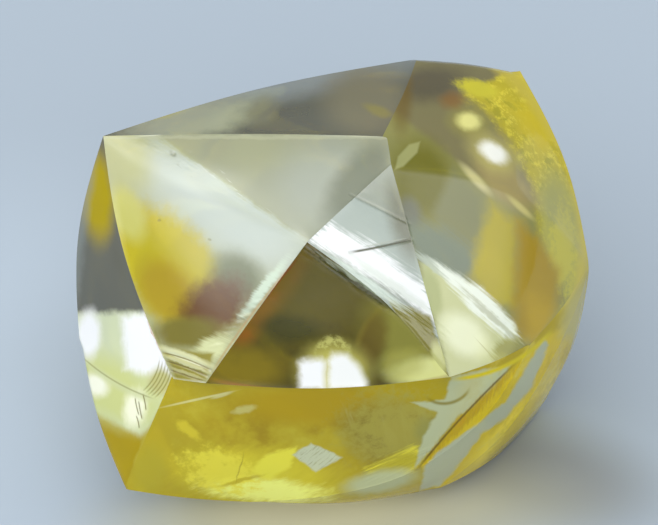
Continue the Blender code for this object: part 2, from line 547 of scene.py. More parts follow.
class Finish:
    """A material or world under construction, and what adds nodes to it."""

    def __init__(self, owner, output="ShaderNodeOutputMaterial"):
        self.owner = owner
        owner.use_nodes = True
        self.tree = owner.node_tree
        self.tree.nodes.clear()
        self.output = self.tree.nodes.new(output)

    def node(self, kind, settings=None, *inputs, **named):
        """Add a node: its settings first, then the values or links of its sockets."""
        made = self.tree.nodes.new("ShaderNode" + kind)
        for name, value in (settings or {}).items():
            setattr(made, name, value)
        for key, value in [*enumerate(inputs), *named.items()]:
            self.feed(made.inputs[key.replace("_", " ") if isinstance(key, str) else key], value)
        return made

    def feed(self, socket, value):
        """Link a socket, or set it."""
        if isinstance(value, Value):
            value = value.socket
        if isinstance(value, bpy.types.NodeSocket):
            self.tree.links.new(value, socket)
        else:
            socket.default_value = value

    def vector(self, operation, *inputs, **named):
        """Add a Vector Math node and give its vector."""
        return self.node("VectorMath", {"operation": operation}, *inputs, **named).outputs["Vector"]

    def measure(self, operation, *inputs):
        """Add a Vector Math node and give its number."""
        return Value(self, self.node("VectorMath", {"operation": operation}, *inputs).outputs["Value"])

    def mapped(self, place, kind="TEXTURE", label="", **named):
        """Add a Mapping node and give its vector."""
        return self.node("Mapping", {"vector_type": kind, "label": label}, place, **named).outputs[0]

    def ramp(self, value, low, high, share=1.0):
        """Give a smooth step from 0 where value is low to share where it is high."""
        settings = {"interpolation_type": "SMOOTHSTEP"}
        return Value(self, self.node("MapRange", settings, value, low, high, 0.0, share).outputs[0])

    def noise(self, vector, scale, detail=2.0, roughness=0.5):
        """Give a noise from 0 to 1 and its colour."""
        made = self.node("TexNoise", None, vector, Scale=scale, Detail=detail, Roughness=roughness)
        return Value(self, made.outputs[0]), made.outputs[1]

    def mixed(self, label, share, first, last, colors=True):
        """Mix two colours or two numbers."""
        made = self.node("Mix", {"data_type": "RGBA" if colors else "FLOAT", "label": label})
        start = 6 if colors else 2
        for socket, value in ((0, share), (start, first), (start + 1, last)):
            self.feed(made.inputs[socket], value)
        return made.outputs[2 if colors else 0]


def tone(color):
    """Give a display colour, written #rrggbb, as the shader's."""
    parts = (int(color[place : place + 2], 16) / 255 for place in (1, 3, 5))
    return (*(part / 12.92 if part <= 0.04045 else ((part + 0.055) / 1.055) ** 2.4 for part in parts), 1.0)


# What the soft shine adds to the body's colour, and how much brighter the body then has to be.
SHINE = (0.065, 0.068, 0.088)
BODY_GAIN = 1.15


def circle_centre(first, middle, last):
    """Give the centre of the circle through three points."""
    one, two = middle - first, last - first
    twice = 2 * (one.x * two.y - one.y * two.x)
    across = (two.y * one.length_squared - one.y * two.length_squared) / twice
    up = (one.x * two.length_squared - two.x * one.length_squared) / twice
    return first + Vector((across, up))


def beneath_shine(color):
    """Give the body's colour for the display colour that it shows under its soft shine."""
    parts = zip(tone(color), SHINE)
    return (*(min(max(part - shine, 0) * BODY_GAIN, 1) for part, shine in parts), 1.0)


class PaintedFinish(Finish):
    """A finish with soft patches, placed by two coordinates of its view."""

    def __init__(self, name, color, haze, wander):
        super().__init__(bpy.data.materials.new(name))
        self.color = color
        self.haze = haze
        self.view = self.seen()
        _, shift = self.noise(self.view, 7.0, 3.0, 0.6)
        shift = self.vector("SUBTRACT", shift, (0.5, 0.5, 0.5))
        shift = self.vector("SCALE", shift, Scale=wander * 4)
        flat = ((1.0, 1.0, 0.0), (0.0, 0.0, 1.0))
        self.torn = self.vector("MULTIPLY_ADD", self.vector("ADD", self.view, shift), *flat)
        self.even = self.vector("MULTIPLY_ADD", self.view, *flat)

    def seen(self):
        """Give the coordinates that place the patches: here the world's, in millimetres."""
        return self.vector("SCALE", self.node("TexCoord").outputs["Object"], Scale=1 / MM)

    def body_color(self, color):
        """Give the colour that a patch gets."""
        return (*color, 1.0)

    def brushes(self):
        """Give what lays a colour by a mask, and what paints a spot, a stroke, a field and a curve."""

        def brush(shape):
            def paint(label, color, *places, within=None, haze=None, **options):
                mask = shape(*places, **options)
                self.patch(label, color, mask * self.ramp(*within) if within else mask, haze)

            return paint

        return self.patch, *(brush(shape) for shape in (self.spot, self.stroke, self.field, self.curve))

    def torn_by(self, off, streaks, ragged):
        """Give a distance made uneven by a noise."""
        return off if streaks is None else off + (streaks - 0.5) * ragged

    def spot(self, place, radii, turn=0, soft=1, share=1, streaks=None, ragged=1, crisp=False):
        """Give share inside an ellipse and 0 outside; soft is how much of the radius the edge takes."""
        inside = self.mapped(
            self.even if crisp else self.torn,
            Location=(*at(place), 1),
            Rotation=(0, 0, math.radians(turn)),
            Scale=(radii[0] * UNIT, radii[1] * UNIT, 1),
        )
        far = self.torn_by(self.measure("LENGTH", inside), streaks, ragged)
        return self.ramp(far, 1 + soft / 2, 1 - soft / 2, share)

    def stroke(self, first, last, width, *options, **named):
        """Give a long thin spot from one point to another."""
        first, last = Vector(first), Vector(last)
        along = last - first
        turn = math.degrees(math.atan2(along.y, along.x))
        return self.spot((first + last) / 2, (along.length / 2, width / 2), turn, *options, **named)

    def away(self, first, last, crisp=False):
        """Give how far to the left of a line each place lies, in millimetres."""
        along = Vector(last) - Vector(first)
        across = Vector((-along.y, along.x)).normalized()
        line = (*across, -across.dot(at(first)))
        return self.measure("DOT_PRODUCT", self.even if crisp else self.torn, line)

    def beside(self, first, last, soft=5, share=1):
        """Give share to the left of the line from one point to another, and 0 to its right."""
        return self.ramp(self.away(first, last), -soft * UNIT, soft * UNIT, share)

    def field(self, corners, soft=3, share=1, streaks=None, ragged=10, crisp=False):
        """Give share inside a convex outline: the two numbers of each corner in turn, clockwise."""
        places = list(zip(corners[::2], corners[1::2]))
        inside = None
        for first, last in zip(places, [*places[1:], places[0]]):
            away = self.away(last, first, crisp)
            inside = away if inside is None else inside.math("MINIMUM", away)
        inside = self.torn_by(inside, streaks, ragged * UNIT)
        return self.ramp(inside, -soft * UNIT, soft * UNIT, share)

    def far_from(self, middle, crisp=False):
        """Give each place's distance from a point, in millimetres."""
        return self.measure("DISTANCE", self.even if crisp else self.torn, (*at(middle), 1))

    def curve(self, first, middle, last, width, soft=0.8, share=1, streaks=None, ragged=5, crisp=True):
        """Give a thin bent line through three points, fading at its ends."""
        first, middle, last = Vector(first), Vector(middle), Vector(last)
        centre = circle_centre(first, middle, last)
        off = (self.far_from(centre, crisp) - (first - centre).length * UNIT).math("ABSOLUTE")
        off = self.torn_by(off, streaks, ragged * UNIT)
        half = (last - first).length / 2 * UNIT
        ends = self.ramp(self.far_from((first + last) / 2, crisp), half * 1.1, half * 0.7)
        width = width * UNIT
        return self.ramp(off, width * (1 + soft) / 2, width * (1 - soft) / 2, share) * ends

    def grain(self, scale, detail, roughness):
        """Give an even noise, its scale per millimetre."""
        return self.noise(self.view, scale, detail, roughness)[0]

    def streaks(self, turn, length, width):
        """Give a noise drawn out along a direction, its grains so long and wide."""
        turned = (0, 0, math.radians(turn))
        drawn = self.mapped(self.view, Rotation=turned, Scale=(length * UNIT, width * UNIT, 1))
        return self.noise(drawn, 1.0, 3.0, 0.6)[0]

    def patch(self, label, color, mask, haze=None):
        """Lay a colour over what is there, and a haze of its own if it has one."""
        self.color = self.mixed(label, mask, self.color, self.body_color(color))
        if haze is not None:
            self.haze = self.mixed(label, mask, self.haze, haze, colors=False)


class CrystalFinish(PaintedFinish):
    """Clear crystal with patches of body colour and of painted light: each one's colour, and how milky it
    is.
    """

    def __init__(self, name, color, haze, wander=0.014):
        super().__init__(name, beneath_shine(color), haze, wander)

    def seen(self):
        """Give the coordinates as seen square on to the crown."""
        upright = lying().inverted()
        return self.mapped(
            self.node("TexCoord").outputs["Object"],
            "POINT",
            Location=upright.to_translation() / MM,
            Rotation=upright.to_euler(),
            Scale=(1 / MM, 1 / MM, 1 / MM),
        )

    def body_color(self, color):
        """Give the body's colour that shows as this one under the shine."""
        return beneath_shine(color)

    def finished(self, settings, bend):
        """Join the clear crystal and its milky share, and fill the body with yellow."""
        frost = self.grain(3.0, 5.0, 0.65)
        grain = self.grain(12.0, 3.0, 0.6)
        normal = self.node("Bump", None, Strength=0.5, Distance=GRAIN_HEIGHT, Height=grain).outputs[0]
        clear = self.node("BsdfPrincipled", None, Base_Color=self.color, Roughness=0.0, IOR=DIAMOND_IOR)
        clear.inputs["Transmission Weight"].default_value = 1.0
        milky = self.node("BsdfPrincipled", None, Base_Color=self.color, IOR=bend)
        self.feed(milky.inputs["Roughness"], self.ramp(frost, 0.35, 0.75, 0.16) + 0.02)
        for shader in (clear, milky):
            self.feed(shader.inputs["Normal"], normal)
        back = Value(self, self.node("NewGeometry").outputs["Backfacing"])
        haze = Value(self, self.haze) if isinstance(self.haze, bpy.types.NodeSocket) else self.haze
        share = (1 - back) * haze
        mix = self.node("MixShader", None, share, clear.outputs[0], milky.outputs[0])
        tint = (*settings.body_color, 1.0)
        body = self.node("VolumeAbsorption", None, Color=tint, Density=settings.absorption)
        self.feed(self.output.inputs["Surface"], mix.outputs[0])
        self.feed(self.output.inputs["Volume"], body.outputs[0])
        return self.owner


def finish_plain(finish):
    patch = finish.patch
    zones = finish.grain(0.9, 3, 0.55)
    clouds = finish.grain(2.3, 4, 0.6)
    flecks = finish.grain(9, 3, 0.6)
    patch("pale zone", "#e2d88c", finish.ramp(zones, 0.5, 0.62), 0.4)
    patch("deep zone", "#ba9e2c", finish.ramp(zones, 0.46, 0.36), 0.5)
    patch("olive cloud", "#a09858", finish.ramp(clouds, 0.56, 0.66, 0.8), 0.55)
    patch("grey cloud", "#b0b296", finish.ramp(clouds, 0.42, 0.33, 0.8), 0.5)
    patch("flecks", "#e0ce60", finish.ramp(flecks, 0.66, 0.72, 0.6), 0.6)


def finish_upper_crown(finish):
    patch, spot, stroke, field, curve = finish.brushes()
    fine = finish.streaks(-25, 40, 3)
    drawn = finish.streaks(-36, 25, 4)
    mottled = finish.grain(8, 3, 0.6)
    stroke("high part", "#b1b7ac", (-23, 54), (29, 129), 90, 1.2)
    stroke("dim band", "#848a7e", (63, 131), (7, 59), 42, 1, 0.9)
    patch("low part", "#b7bb99", finish.beside((-15, 36), (-163, 143), 5))
    # The veil is a painted reflection, pale below the ridge; the key light's real reflection on the rounded
    # ridge adds to it.
    edge = finish.away((-15, 38), (-165, 142)) + (drawn - 0.5) * 0.1
    spot("veil", "#c2ccc6", (-95, 74), (105, 42), -37, 1.1, within=(edge, -0.03, 0.04))
    spot("pale corner", "#babc8c", (-198, 119), (26, 32), 20, 1.2)
    spot("yellow zone", "#c6ba14", (-150, 10), (76, 43), -49, 0.5, 1, mottled, 0.4)
    spot("yellow heart", "#b8a200", (-152, -13), (36, 25), -50, 0.9)
    spot("pale lobe", "#d0ce80", (-193, 65), (15, 28), 24, 0.9)
    spot("grey zone", "#7e8570", (-83, 3), (27, 21), -35, 1.1)
    spot("brown zone", "#785e00", (-107, -27), (35, 26), 30, 0.9, 1, mottled, 0.6)
    spot("olive foot", "#88825a", (-135, -52), (34, 15), 4, 0.9)
    # The pale ledge along the ridge, its glints and the glint at the foot are painted highlights.
    field("ledge", "#bed0b8", [-25, 29, -33, 23, -69, -21, -101, -61, -95, -71, -77, -49], 5, 1, drawn, 5)
    stroke("ledge glints", "#d6e6d4", (-38, 17), (-77, -33), 10, 1, 1, fine, 1.2)
    spot("foot glint", "#dee4ba", (-110, -69), (20, 11), 32, 1, 1, fine, 1.2)
    field("foot", "#9e9860", [-159, -67, -107, -73, -115, -101, -145, -99])
    # Three painted highlights: streaks of light along the steps at the foot.
    stroke("first streak", "#e2e4be", (-161, -67), (-109, -86), 9, 0.8)
    stroke("second streak", "#d6d6aa", (-157, -75), (-111, -92), 4, 0.7)
    stroke("third streak", "#c4c08c", (-151, -87), (-115, -99), 3, 0.8)
    for line in FOOT_STEPS:
        curve("dark step", "#7a7042", *line, 1.3, 0.9, 0.8)
    curve("ridge line", "#be966e", (-23, 23), (-71, -36), (-109, -91), 2, 0.9, 0.5)
    stroke("seam light", "#c4c7b0", (-211, 140.5), (61, 139.5), 3.5, 1, 0.5)
    stroke("flecks", "#ecf0e8", (-128, 121), (-23, 43), 10, 0.8, within=(drawn, 0.58, 0.68, 0.5))
    stroke("dark flecks", "#8e907e", (-173, 134), (-33, 51), 14, 0.8, within=(drawn, 0.38, 0.3, 0.35))
    spot("speck", "#8c8e7a", (-148, 124), (4, 2.2), -35, 1, 0.5, crisp=True)
    spot("speck", "#78703c", (-161, 58), (1.8, 1.2), 0, 0.8, 0.4, crisp=True)
    spot("speck", "#78765a", (-111, 39), (2, 1.1), -20, 0.8, 0.4, crisp=True)


def finish_right_crown(finish):
    patch, spot, stroke, field, curve = finish.brushes()
    fine = finish.streaks(-33, 40, 2.2)
    tufts = finish.streaks(-38, 16, 1.8)
    patch("lower step", "#b0bdb8", finish.beside((86, 54), (27, 83), 2))
    curve("step line", "#8c948a", *CROWN_STEP, 2, 0.9, 0.6)
    stroke("dim rim", "#7e8274", (75, 97), (91, 23), 34, 1.1)
    # The white band is a painted reflection, where the right panel's real reflection also falls.
    field(
        "bright band", "#f6fefc", [-17, 41, 7, 53, 49, 33, 101, -5, 117, -51, 75, -27], 5, 1, fine, 22,
        haze=0.9,
    )
    stroke("band shade", "#ced8ce", (29, 21), (107, -33), 10, 1, 0.6, fine, 1.5)
    stroke("torn edge", "#7c887c", (-7, 29), (113, -47), 13, 1, 0.8, tufts, 1.6)
    field(
        "low corner", "#8c8858", [63, -18, 105, -36, 115, -66, 127, -101, 87, -71], 2, 1, tufts, 5, haze=0.9
    )
    spot("corner cream", "#c6c88c", (114, -77), (7, 16), 12, 0.9, haze=0.9)
    stroke("torn glints", "#e2f0e8", (7, 21), (77, -27), 10, 0.9, 0.7, fine, 2)
    curve("scratch", "#5c5e4e", *SCRATCH, 2, haze=0.9)
    stroke("scratch shade", "#a8aea4", (39, 31.5), (81, 40), 2, 0.7, 0.6, crisp=True, haze=0.9)


def finish_low_crown(finish):
    _, spot, stroke, field, curve = finish.brushes()
    curls = finish.grain(14, 4, 0.8)
    clouds = finish.grain(4, 3, 0.6)
    tufts = finish.streaks(-38, 16, 1.8)
    stroke("upper left", "#846c3a", (-19, 25), (-95, -75), 30, 1.2)
    stroke("ridge glow", "#9c7028", (-49, -9), (-83, -61), 24, 1.2)
    spot("lower left", "#8c7f42", (-80, -86), (42, 20))
    spot("cloud", "#767046", (7, -21), (90, 50), 0, 1, 0.5, clouds, 2.5)
    spot("dark spot", "#5e5e28", (-31, -48), (30, 13), -6, 1.1)
    spot("right zone", "#969462", (85, -51), (42, 34), -30)
    curve("thin arc", "#9a925c", (61, -24), (44, -43), (33, -67), 5, 1.2, 0.55)
    spot("dark arc", "#766836", (49, -57), (13, 26), -14, 1, 0.7)
    spot("cream foot", "#e4e6a2", (101, -90), (34, 13), 6, 0.9)
    spot("cream glow", "#bab86e", (77, -83), (22, 14), 12, 1, 0.6)
    stroke("torn edge", "#54583a", (-11, 27), (113, -56), 10, 1, 0.8, tufts, 1.8)
    stroke("torn light", "#b0bcaa", (7, 17), (107, -47), 5, 0.9, 0.6, tufts, 2)
    # A painted glow round the two painted highlights below.
    spot("bloom", "#ded882", (11, -91), (30, 25), 0, 1.2, 0.9)
    curve("filaments", "#d8d68c", (-9, -73), (7, -59), (29, -71), 7, 1, 0.7, curls, 30, False)
    # The two windows and the thin gap between them are painted highlights.
    field(
        "left window", "#fffffa", [-23, -82, -18, -78, -2, -78, 2.5, -82, 2.5, -108, -23, -108], 5.5, 1,
        curls, 3, haze=1,
    )
    field(
        "right window", "#fffff6", [5, -80, 10, -73, 24, -74, 36, -87, 43, -101, 43, -108, 5, -108], 5.5, 1,
        curls, 4, haze=1,
    )
    stroke("window gap", "#d6d096", (3.5, -77), (4, -111), 1.5, 1, 0.55)
    curve("seam rim", "#a67416", (-111, -98), (7, -111.5), (123, -95), 4, 0.9, 0.7)
    curve("ridge line", "#8c542c", (-23, 22), (-70, -37), (-108, -92), 2, 0.9, 0.6)


def finish_low_side(finish):
    patch, spot, stroke, field, curve = finish.brushes()
    fine = finish.streaks(24, 30, 2.2)
    ticks = finish.streaks(80, 10, 2)
    leaning = finish.streaks(-70, 50, 13)
    cracks = finish.streaks(40, 12, 1.8)
    mottled = finish.grain(9, 4, 0.7)
    clouds = finish.grain(2.6, 4, 0.6)
    swept = finish.streaks(34, 26, 6)
    shreds = finish.streaks(20, 13, 3)
    broken = finish.grain(10, 3, 0.65)
    spot("mottling", "#c0b05c", (-83, -161), (160, 90), 0, 1, 0.6, mottled, 2)
    spot("brown cloud", "#a48d50", (7, -146), (130, 40), -4, 0.8, within=(clouds, 0.46, 0.68, 0.8))
    spot("yellow cloud", "#c8bb60", (-73, -141), (100, 34), -4, 0.8, within=(clouds, 0.5, 0.3, 0.8))
    spot("orange seam", "#b8a000", (-11, -123), (74, 19))
    spot("olive right", "#8a805c", (73, -155), (50, 30), -10)
    spot("pale streaks", "#b8b47a", (62, -136), (46, 30), -10, 0.9, within=(leaning, 0.48, 0.66, 0.7))
    spot("olive cloud", "#b0a766", (75, -151), (48, 34), -10, 1, 0.9, mottled, 2.6)
    spot("dark lobe", "#9e9c6a", (105, -151), (13, 15), 30, 1, 0.8)
    spot("glow", "#e0d35e", (-65, -195), (72, 25), -4, 1.2, 0.9, swept, 0.6)
    spot("glow heart", "#ffff92", (-57, -210), (56, 12), -4, 1, 1, shreds, 1.1, haze=1)
    spot("glow specks", "#eee268", (-101, -191), (34, 18), -16, 1, 0.9, broken, 2.8)
    field(
        "glow wedge", "#f0e86a", [-71, -191, -57, -173, -26, -166, -32, -185, -53, -199], 3, 0.9, shreds, 6
    )
    stroke("gold gap", "#b8a214", (-101, -205), (-61, -194), 4, 1, 0.6)
    stroke("glow crack", "#968014", (-78, -173), (-86, -201), 1.4, 1, 0.45)
    spot("left glow", "#dece60", (-133, -149), (14, 5), -35, 0.9, 0.8, broken, 1.5)
    spot("low left", "#beb25c", (-173, -191), (18, 28), -14, 1, 0.8)
    window = finish.field([-30, -173, -11, -162, 19, -176, -7, -190], 1.5)
    patch("grey window", "#ced3b8", window)
    patch("window streaks", "#969468", window * finish.ramp(cracks, 0.5, 0.7, 0.45))
    # A painted streak of light with its foot, and a painted glint.
    stroke("white streak", "#dcd8a0", (-157, -126), (-92, -111), 2.2, 1, 0.8, crisp=True)
    stroke("streak foot", "#d6d29c", (-109, -117), (-90, -111), 3.5, 1, 0.8, crisp=True)
    spot("small glint", "#ccc688", (-77, -128), (11, 3.5), 12, 0.9, 0.8, broken, 0.9)
    field("striped band", "#e4da64", [43, -187, 89, -165, 103, -173, 89, -191, 53, -207], 4, 1, fine, 16)
    stroke("band lines", "#aca058", (43, -195), (101, -173), 20, 0.9, 0.7, fine, 2.2)
    stroke("pale edge", "#c2c6a0", (23, -207), (91, -195), 22, 0.9)
    for corners, soft in (
        ([126, -95, 185, -85, 177, -101, 159, -122, 138, -133, 117, -129], 2),
        ([107, -121, 141, -129, 111, -164, 93, -187, 82, -184, 98, -157], 2),
        ([88, -121, 123, -119, 117, -133], 1.5),
    ):
        field("inner strip", "#bec3a2", corners, soft, haze=0.93)
    curve("hook", "#8e8442", (102, -117), (124, -122), (145, -108), 3, 0.9, 0.8)
    field(
        "rim gold", "#d6bf54",
        [225, -56, 277, -21, 267, -101, 177, -196, 113, -213, 97, -183, 134, -139, 182, -93], haze=0.93,
    )
    rim = finish.spot((247, -141), (95, 115), 0, 0.8)
    stroke("rim edge", "#fae264", (243, -93), (143, -201), 26, 1, 0.9)
    patch("rim cloud", "#baa638", rim * finish.ramp(clouds, 0.47, 0.66, 0.6))
    patch("rim veil", "#dacc70", rim * finish.ramp(clouds, 0.48, 0.3, 0.8))
    spot("rim light", "#ccb852", (197, -146), (50, 10), 55, 1, 0.8, mottled, 1.6)
    for corners in (
        [218, -59, 225, -66, 208, -108, 193, -126, 178, -126, 201, -89],
        [178, -124, 193, -124, 182, -139, 158, -153, 141, -153, 164, -135],
        [143, -151, 159, -151, 147, -169, 132, -189, 117, -207, 97, -211, 101, -185, 116, -169],
    ):
        field("outer strip", "#b6bba6", corners, 2, 1, mottled, 3, haze=0.93)
    stroke("crease ticks", "#bea226", (185, -93), (101, -179), 9, 0.9, 0.8, ticks, 2.2)
    spot("crease spot", "#c8a428", (135, -141), (7, 4), 50, 0.8, 0.7)
    curve("crease line", "#706436", (189, -85), (143, -130), (93, -189), 2, 0.8, 0.8)
    field("pale rim", "#c4ba78", [237, 17, 269, 17, 259, -66, 239, -56], 10)
    curve("arc light", "#d6c63c", (126, -98), (186, -83), (229, -50), 4, 0.9)


def finish_right_side(finish):
    patch, spot, stroke, field, *_ = finish.brushes()
    fine = finish.streaks(-40, 40, 2)
    tufts = finish.streaks(-44, 14, 1.8)
    mottled = finish.grain(6, 3, 0.6)
    broken = finish.grain(11, 4, 0.75)
    far = finish.far_from((37, 39))
    # Above the line from the frame's top right corner to the right peak.
    high = finish.beside((147, 105), (267, 9), 5) * finish.beside((62, 147), (147, 105), 4)
    patch("high zone", "#8a866f", high)
    spot("dark zone", "#706d66", (107, 195), (36, 17), 8, 1.2)
    stroke("reddish band", "#7c6c54", (79, 219), (77, 149), 20, 1.2, 0.7)
    around = finish.beside((187, 47), (267, 29), 30) * finish.beside((201, 217), (129, 179), 4)
    ring = finish.ramp(far + (mottled - 0.5) * 0.16, 1.7, 1.87) * around
    patch("yellow ring", "#c6ba58", ring)
    patch("ring light", "#e0d462", ring * finish.ramp(broken, 0.48, 0.62))
    patch("ring green", "#aca854", ring * finish.ramp(mottled, 0.44, 0.36, 0.7))
    spot("ring top", "#d8d05c", (155, 191), (20, 8), -14, 0.9, 1, broken, 1.2)
    spot("ring gold", "#d8c630", (215, 155), (16, 26), 30, 1.1, 1, broken)
    spot("reddish spot", "#967052", (129, 178), (11, 8), 0, 1.4, 0.6)
    spot("pale flank", "#b0ae6e", (241, 47), (22, 60), 12, 0.8)
    patch("outer gold", "#cec06a", finish.ramp(far, 2.12, 2.24, 0.8))
    spot("rim spots", "#ccc468", (239, 29), (14, 40), 0, 0.9, 0.8, broken, 2.6)
    spot("pinkish zone", "#aea27a", (182, 95), (34, 17), -40)
    # Below that line.
    spot("olive zone", "#7e7d54", (97, 97), (30, 40), 8, 0.9)
    field("lighter flank", "#8c8e72", [129, 109, 157, 82, 155, 47, 143, 17, 117, 41, 109, 67], 7)
    spot("grey patch", "#80837a", (85, 63), (11, 17), 10, 1.1)
    stroke("grey band", "#869084", (81, 49), (155, 3), 40, 0.9, 1, fine, 0.7)
    field("yellow zone", "#b8ac4a", [165, 76, 193, 57, 190, -25, 165, -25, 143, 7, 157, 47], 9, 1, mottled)
    field(
        "golden zone", "#ae962c", [193, 57, 213, 41, 234, 9, 234, -21, 227, -45, 209, -65, 188, -51], 9, 1,
        mottled,
    )
    field("pale window", "#a6a87c", [71, 108, 74, 121, 85, 133, 96, 136, 93, 125, 79, 111], 1.5, crisp=True)
    # The cream zone, its heart and the grey light are painted reflection of the right panel, where its real
    # reflection also falls.
    field(
        "cream zone", "#ced2a4", [97, 15, 109, 14, 155, -13, 191, -49, 189, -66, 179, -83, 124, -99], 4, 1,
        fine, 6,
    )
    spot("green flank", "#b8be8e", (107, -13), (9, 26), 12, 0.9)
    spot("cream heart", "#f0f4d4", (139, -55), (26, 17), -38, haze=0.85)
    stroke("grey light", "#c4cec2", (95, 23), (139, -7), 9, 0.9, 0.8, fine, 1.6)
    # The white band is a painted reflection too.
    field(
        "bright band", "#f2f8ec", [109, 17, 155, -8, 189, -43, 194, -61, 177, -56, 145, -29], 4, 1, fine, 12,
        haze=0.9,
    )
    stroke("dark hairs", "#8c9064", (139, -11), (197, -65), 6, 0.9, 0.45, fine, 2.2)
    spot("end fringe", "#a6a268", (181, -69), (15, 9), 40, 1, 0.8, tufts, 1.4)
    stroke("thin line", "#aaa874", (151, -59), (175, -85), 1.2, 0.9, 0.4, crisp=True)
    # Painted highlights: two streaks of light, and two glints with their halos.
    spot("upper streak", "#dcd6a4", (151, 99), (18, 4), -46, 1.3, 0.85, crisp=True, haze=0.8)
    spot("outer streak", "#d2ca8e", (196, 71), (15, 3), -42, 1.3, 0.85, crisp=True)
    spot("dim halo", "#a8a468", (147, 156), (19, 14), -10, 1.4, 0.7)
    spot("dim glint", "#e2de98", (145, 157), (11.5, 8.5), -8, 1.1, haze=1)
    spot("bright halo", "#cec684", (170, 125), (24, 15.5), -30, 1.4, 0.8)
    spot("bright glint", "#fffff0", (169, 126), (15, 8.8), -30, haze=1)


def finish_top_face(finish):
    _, spot, stroke, *_ = finish.brushes()
    mottled = finish.grain(5, 3, 0.6)
    stroke("upper light", "#949ea5", (-189, 178), (111, 228), 46, 1.2)
    spot("left light", "#a8aea0", (-133, 157), (62, 20), 12, 1, 1, mottled, 0.6)
    spot("yellow fleck", "#bab67c", (-155, 165), (16, 4), 16, 1.2, 0.6)
    spot("middle light", "#84867c", (-61, 167), (16, 12), 40, 1.1, 0.7)
    spot("right warmth", "#888679", (43, 177), (40, 36), 0, 1.1)
    spot("right fleck", "#a09862", (55, 167), (14, 5), -20, 1.1, 0.6)


def finish_left_side(finish):
    patch, spot, stroke, field, curve = finish.brushes()
    fine = finish.streaks(86, 40, 5)
    mottled = finish.grain(6, 3, 0.6)
    spot("olive top", "#b2a254", (-224, 83), (17, 44), 4, 0.9)
    patch("cool edge", "#969ea0", finish.beside((-245, -21), (-227, 109), 6, 0.6))
    patch("golden foot", "#b4a03c", finish.beside((-177, -145), (-237, -123), 10))
    # The pale zone, the cream below it and the whites on them are painted reflection.
    field(
        "pale zone", "#d8e0c2",
        [-247, -34, -155, -32, -143, -99, -173, -149, -181, -155, -239, -127, -253, -81], 5, 1, mottled, 6,
        haze=0.9,
    )
    spot("cream low", "#d4da9e", (-211, -109), (62, 30), -25, haze=0.93)
    spot("outer white", "#fffffa", (-233, -55), (12, 23), -4, 0.9, haze=1)
    field(
        "inner white", "#fffffa", [-199, -38, -169, -33, -146, -96, -163, -97, -195, -89], 6, 1, fine, 6,
        haze=1,
    )
    spot("outer low white", "#fafce6", (-226, -105), (13, 11), -20, 1.1, haze=1)
    spot("inner low white", "#fcfdde", (-186, -127), (11, 18), -10, 1, 1, fine, 0.5, haze=1)
    curve("cream step", "#d8deb2", (-237, -82), (-205, -104), (-165, -120), 7, 1, 0.8, haze=0.9)
    curve("step line", "#96986e", (-241, -77), (-207, -101), (-167, -118), 1.4, 0.9, 0.6)
    spot("corner shade", "#cac896", (-160, -101), (12, 13), 40, 0.9)
    for line in growth_lines():
        curve("growth line", "#888250", *line, 1.2, 0.9, 0.6)
    for line in LOW_TICKS:
        curve("low tick", "#746c38", *line, 1.1, 0.8, 0.8)
    stroke("edge light", "#c0b464", (-173, -151), (-191, -203), 7, 1, 0.8)
    stroke("seam line", "#ceac96", (-175, -37), (-149, -93), 2, 0.9, 0.7)


# Each finish: its first colour, how milky it is, how much it bends light at its shine, and what it
# shows.
FINISHES = {
    "plain": ("#cebe60", 0.32, 2.2, finish_plain),
    "upper_crown": ("#aaae9a", 0.84, 1.85, finish_upper_crown),
    "right_crown": ("#a6aea4", 0.75, 2.0, finish_right_crown),
    "low_crown": ("#666238", 0.82, 1.5, finish_low_crown),
    "low_side": ("#b8a628", 0.90, 1.27, finish_low_side),
    "right_side": ("#96966e", 0.86, 1.6, finish_right_side),
    "top_face": ("#6e7170", 0.75, 1.9, finish_top_face),
    "left_side": ("#787a7a", 0.92, 1.22, finish_left_side),
}


def diamond_finish(name, settings):
    """Make one of the crystal's finishes."""
    color, haze, bend, paint = FINISHES[name]
    finish = CrystalFinish(name, color, haze)
    paint(finish)
    return finish.finished(settings, bend)


class DIAMOND_OT_crystal(bpy.types.Operator):
    """Build the crystal and put it in the place of the CAD solid"""

    bl_idname = "diamond.crystal"
    bl_label = "Crystal"

    def execute(self, context):
        settings = context.scene.diamond
        finishes = ["plain", *sorted(FACE_FINISHES)]
        data = rounded_mesh(settings.levels, finishes)
        mesh = bmesh.new()
        mesh.from_mesh(data)
        cut_rest_face(mesh, finishes)
        carve_relief(mesh)
        sharpen_ridges(mesh)
        mesh.to_mesh(data)
        mesh.free()
        data.name = "crystal"
        if not data.polygons:
            raise RuntimeError("the crystal has no faces")
        crystal = bpy.data.objects.new("crystal", data)
        context.scene.collection.objects.link(crystal)
        for name in finishes:
            data.materials.append(diamond_finish(name, settings))
        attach(crystal, "root")
        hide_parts("diamond")
        return {"FINISHED"}


# The floor's half width in metres, how finely its edge is divided, and how far it lies below the
# crystal. Then what the camera sees: how wide a part of the crystal's plane, and its middle.
FLOOR_RADIUS = 1.0
FLOOR_EDGES = 96
FLOOR_GAP = 0.02 * MM
VIEW_WIDTH = 6.58 * MM
VIEW_MIDDLE = (0.055 * MM, 0.165 * MM)
SENSOR_WIDTH = 36.0
LIGHT_BOUNCES = {"max_bounces": 32, "transmission_bounces": 32, "glossy_bounces": 16}
# The soft lights: azimuth from the camera's side towards +X and height of the middle, half the
# width and half the height as seen from the crystal, all in degrees, how soft the edge is, from 0 to
# 2, and the brightness.
LIGHTS = {
    "overhead": (0, 90, (36, 36), 1.2, 1.05),
    "key": (-128, 50, (18, 14), 1.2, 1.3),
    "front": (-5, 40, (42, 24), 0.8, 1.1),
    "left_panel": (-80, 37, (36, 17), 0.8, 1.2),
    "right_panel": (84, 32, (16, 28), 0.9, 1.15),
}
ROOM_BRIGHTNESS = 0.33


